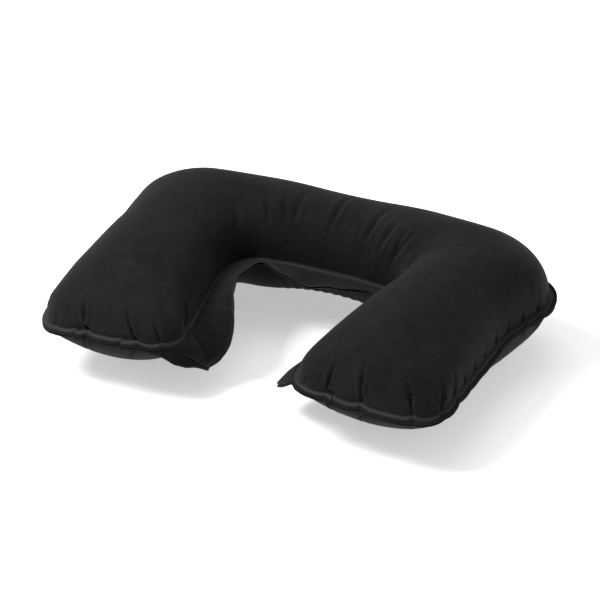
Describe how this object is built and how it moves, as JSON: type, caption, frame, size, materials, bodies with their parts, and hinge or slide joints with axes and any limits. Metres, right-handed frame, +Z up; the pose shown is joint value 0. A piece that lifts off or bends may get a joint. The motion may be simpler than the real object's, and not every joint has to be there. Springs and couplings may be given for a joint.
{
  "type": "inflatable camp pillow",
  "caption": "U-shaped inflatable pillow in black flocked sheet, with a welded rim, a loose flap round the neck gap and a push-in stopper valve.",
  "frame": {"origin": "on the floor, under the centre of the box round the inflated pillow", "axes": "+X along the width from arm to arm, +Z up through the two sheets; the arms and the neck gap point to -Y"},
  "size_m": [0.3666, 0.257, 0.0964],
  "materials": {
    "flocked_sheet": "black rayon flock on PVC film",
    "valve": "soft black PVC, satin",
    "valve_film": "thin clear PVC film"
  },
  "bodies": {
    "pillow": {"top_panel": "flocked_sheet", "bottom_panel": "flocked_sheet", "valve_base": "valve"},
    "stem": {"valve_stem": "valve", "stopper_strap": "valve"},
    "check_flap": {"check_flap": "valve_film"},
    "stopper": {"stopper": "valve"}
  },
  "joints": [
    {"name": "valve_pop_out", "type": "slide", "parent": "pillow", "child": "stem", "axis": [0, 0.6881, -0.7256], "range_m": [0, 0.009]},
    {"name": "stopper_swing", "type": "hinge", "parent": "stem", "child": "stopper", "pos_m": [-0.012, 0.1134, 0.02029], "axis": [0, 0.7256, 0.6881], "range_deg": [0, 150]},
    {"name": "check_flap_swing", "type": "hinge", "parent": "stem", "child": "check_flap", "pos_m": [0.0034, 0.10439, 0.0298], "axis": [0, 0.7256, 0.6881], "range_deg": [0, 40]}
  ]
}
